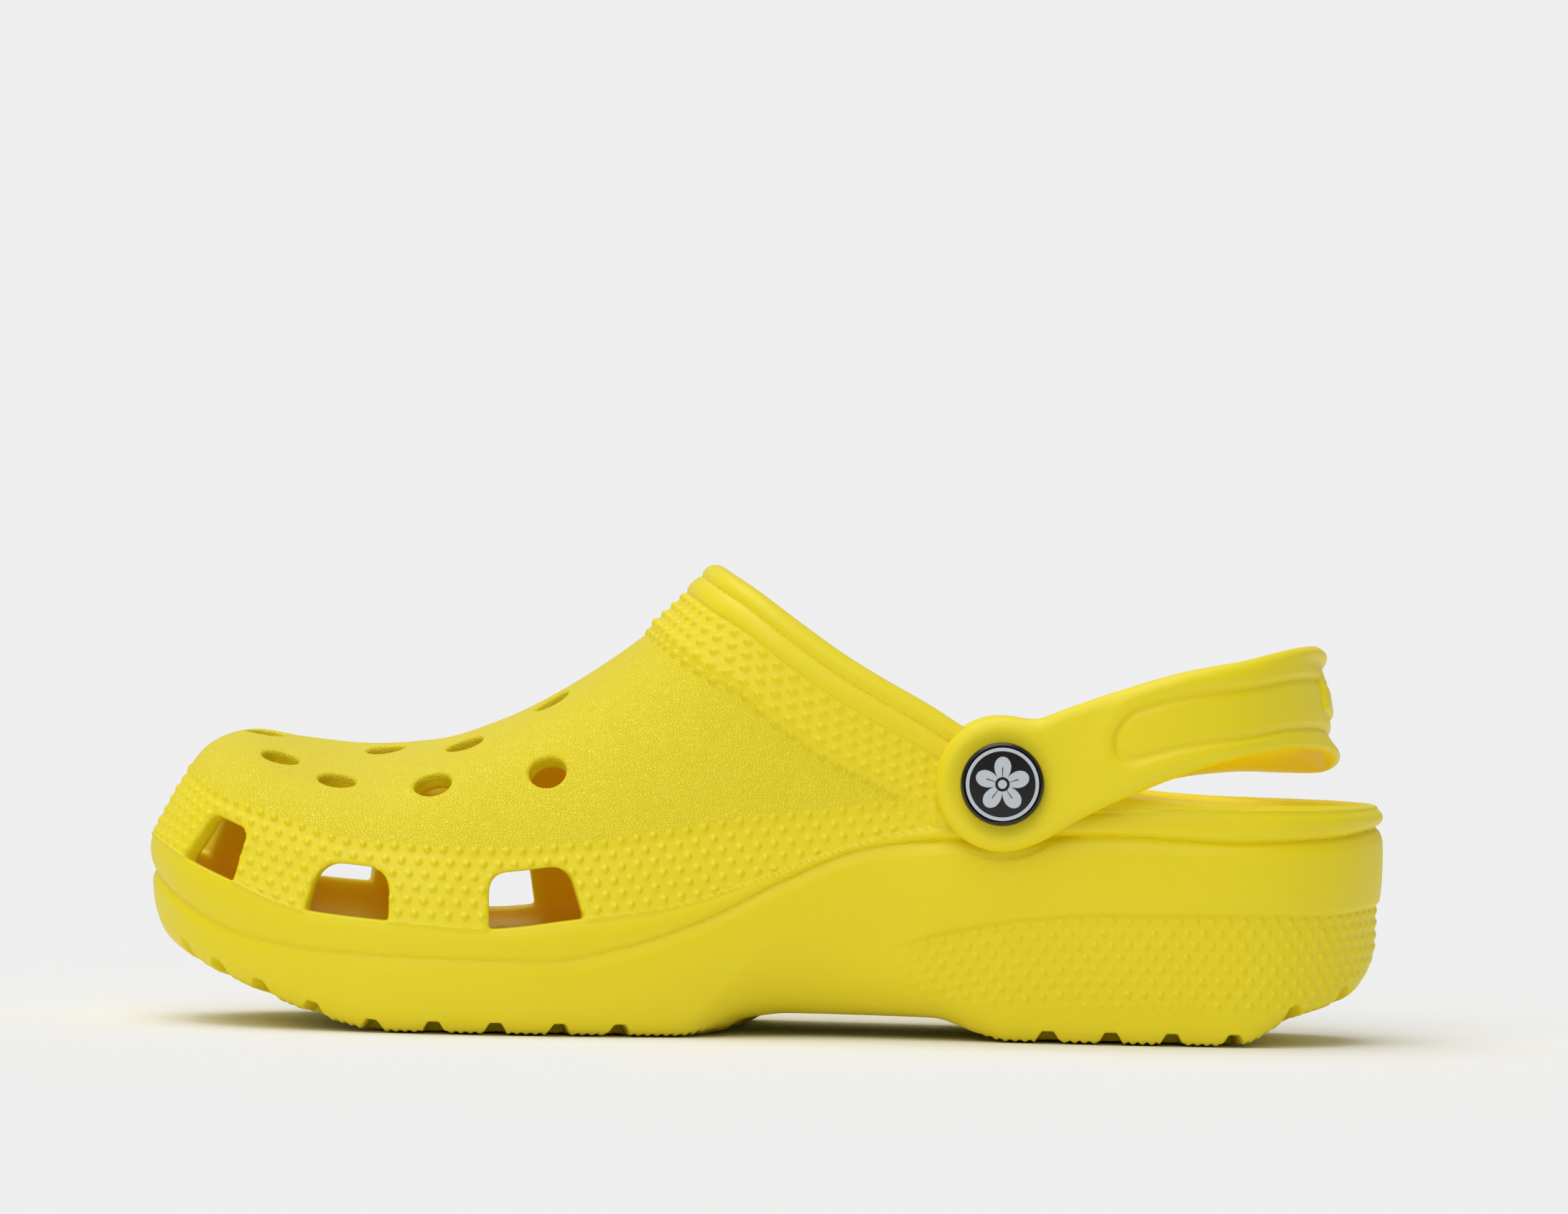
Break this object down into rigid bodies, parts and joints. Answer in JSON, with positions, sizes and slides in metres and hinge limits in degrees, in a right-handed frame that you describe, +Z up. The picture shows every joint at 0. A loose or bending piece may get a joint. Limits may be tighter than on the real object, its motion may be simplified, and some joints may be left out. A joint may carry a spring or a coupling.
{
  "type": "garden clog",
  "caption": "Moulded foam slip-on clog with ventilated toe, raised instep collar, cupped heel and a swinging heel strap on snap rivets.",
  "frame": {"origin": "centre of the bounding box's bottom face, on the ground under the sole", "axes": "+X from toe to heel, +Y towards the outer side of the foot, +Z up"},
  "size_m": [0.2646, 0.1001, 0.0991],
  "materials": {
    "foam": "satin moulded closed-cell foam with a fine leather grain",
    "strap_foam": "satin moulded closed-cell foam, smooth",
    "rivet_plastic": "glossy black moulded plastic",
    "emblem_print": "flat printed disc, black with a pale ring and a plain flower"
  },
  "bodies": {
    "clog": {"clog_body": "foam"},
    "strap": {"heel_strap": "strap_foam"},
    "medial_rivet": {"medial_rivet_cap": "rivet_plastic", "medial_rivet_emblem": "emblem_print", "medial_rivet_socket": "rivet_plastic"},
    "lateral_rivet": {"lateral_rivet_cap": "rivet_plastic", "lateral_rivet_emblem": "emblem_print", "lateral_rivet_socket": "rivet_plastic"}
  },
  "joints": [
    {"name": "strap_swing", "type": "hinge", "parent": "clog", "child": "strap", "pos_m": [0.05, 0, 0.0542], "axis": [0, -0.9992, 0.0401], "range_deg": [-2, 105]},
    {"name": "medial_rivet_spin", "type": "hinge", "parent": "clog", "child": "medial_rivet", "pos_m": [0.05, -0.03997, 0.05581], "axis": [0, -0.9992, 0.0401], "continuous": true},
    {"name": "lateral_rivet_spin", "type": "hinge", "parent": "clog", "child": "lateral_rivet", "pos_m": [0.05, 0.03997, 0.0526], "axis": [0, 0.9992, -0.0401], "continuous": true}
  ]
}
